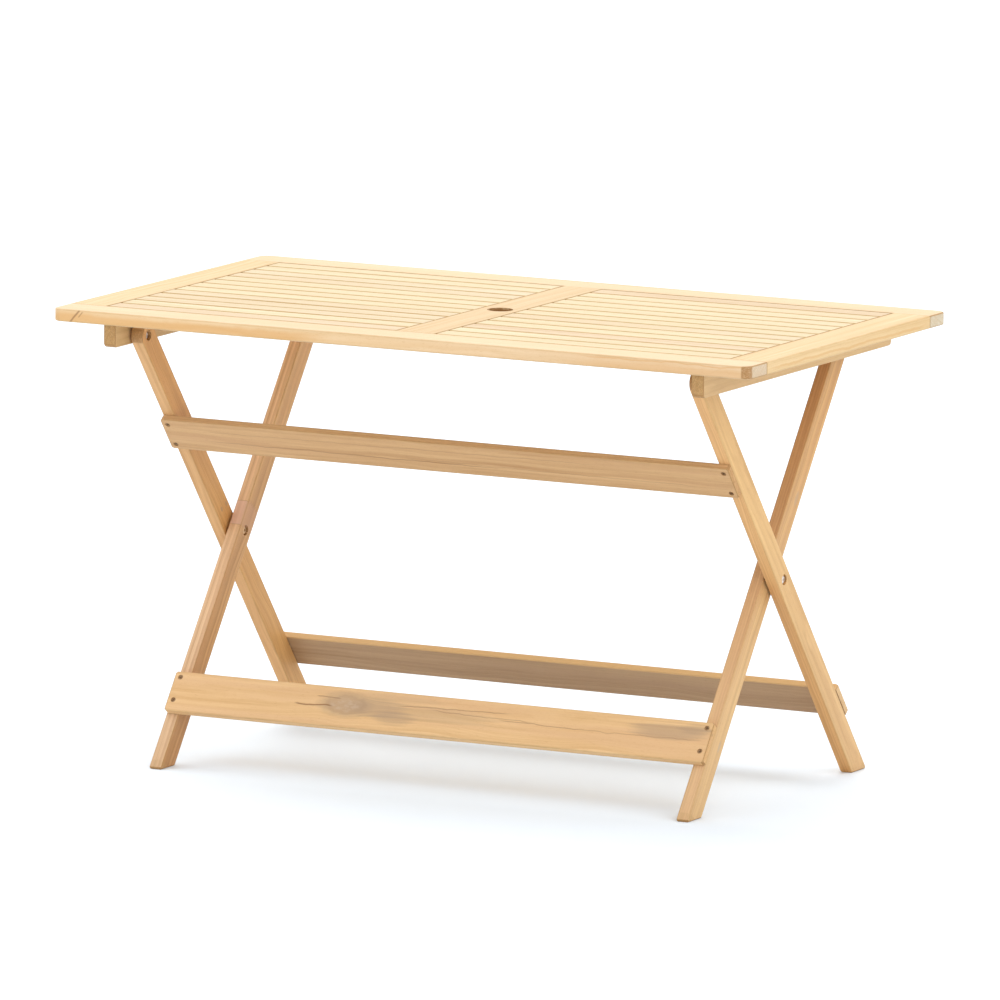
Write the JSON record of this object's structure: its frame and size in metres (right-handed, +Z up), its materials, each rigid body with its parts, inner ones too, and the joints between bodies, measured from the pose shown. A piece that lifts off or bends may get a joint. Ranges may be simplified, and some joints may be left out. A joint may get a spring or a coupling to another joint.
{
  "type": "folding picnic table",
  "caption": "Rectangular slatted wooden table with a parasol hole, on two crossed leg frames that fold flat on steel bolts.",
  "frame": {"origin": "On the ground, under the middle of the table top.", "axes": "+X along the long side, +Y to the back, where the inner frame's dowel is, +Z up. The outer leg frame hangs from the front of the top and has its feet at the back."},
  "size_m": [1.2, 0.698, 0.723],
  "materials": {
    "rail_wood": "light oiled acacia, long grain, eased edges, satin",
    "cross_board_wood": "light oiled acacia, long grain, satin",
    "slat_wood": "light oiled acacia, tone differs from slat to slat, satin",
    "batten_wood": "tan oiled acacia, round lower corners, satin",
    "leg_wood": "tan oiled acacia, straight grain, eased edges, satin",
    "stretcher_wood": "tan oiled acacia with knots and streaks, satin",
    "dowel_wood": "turned tan hardwood, satin",
    "zinc_steel": "zinc-plated steel, slightly dull"
  },
  "bodies": {
    "outer_leg_frame": {"left_outer_leg": "leg_wood", "right_outer_leg": "leg_wood", "upper_front_stretcher": "stretcher_wood", "lower_back_stretcher": "stretcher_wood", "left_top_pivot_bolt": "zinc_steel", "left_top_pivot_spacer": "zinc_steel", "right_top_pivot_bolt": "zinc_steel", "right_top_pivot_spacer": "zinc_steel", "left_crossing_bolt": "zinc_steel", "left_crossing_spacer": "zinc_steel", "right_crossing_bolt": "zinc_steel", "right_crossing_spacer": "zinc_steel"},
    "table_top": {"front_rail": "rail_wood", "back_rail": "rail_wood", "left_end_board": "cross_board_wood", "right_end_board": "cross_board_wood", "centre_rail": "cross_board_wood", "left_slat_01": "slat_wood", "left_slat_02": "slat_wood", "left_slat_03": "slat_wood", "left_slat_04": "slat_wood", "left_slat_05": "slat_wood", "left_slat_06": "slat_wood", "left_slat_07": "slat_wood", "left_slat_08": "slat_wood", "left_slat_09": "slat_wood", "left_slat_10": "slat_wood", "left_slat_11": "slat_wood", "left_slat_12": "slat_wood", "left_slat_13": "slat_wood", "right_slat_01": "slat_wood", "right_slat_02": "slat_wood", "right_slat_03": "slat_wood", "right_slat_04": "slat_wood", "right_slat_05": "slat_wood", "right_slat_06": "slat_wood", "right_slat_07": "slat_wood", "right_slat_08": "slat_wood", "right_slat_09": "slat_wood", "right_slat_10": "slat_wood", "right_slat_11": "slat_wood", "right_slat_12": "slat_wood", "right_slat_13": "slat_wood", "left_batten": "batten_wood", "right_batten": "batten_wood", "left_top_pivot_insert": "zinc_steel", "right_top_pivot_insert": "zinc_steel"},
    "inner_leg_frame": {"left_inner_leg": "leg_wood", "right_inner_leg": "leg_wood", "lower_front_stretcher": "stretcher_wood", "top_dowel": "dowel_wood", "left_crossing_cap_nut": "zinc_steel", "right_crossing_cap_nut": "zinc_steel"}
  },
  "joints": [
    {"name": "top_hinge", "type": "hinge", "parent": "outer_leg_frame", "child": "table_top", "pos_m": [0, -0.2724, 0.6805], "axis": [1, 0, 0], "range_deg": [0, 125]},
    {"name": "crossing_hinge", "type": "hinge", "parent": "outer_leg_frame", "child": "inner_leg_frame", "pos_m": [0, 0.0077, 0.3395], "axis": [1, 0, 0], "range_deg": [0, 71]}
  ],
  "couplings": [
    {"joint": "crossing_hinge", "follows": "top_hinge", "ratio": 0.568}
  ]
}
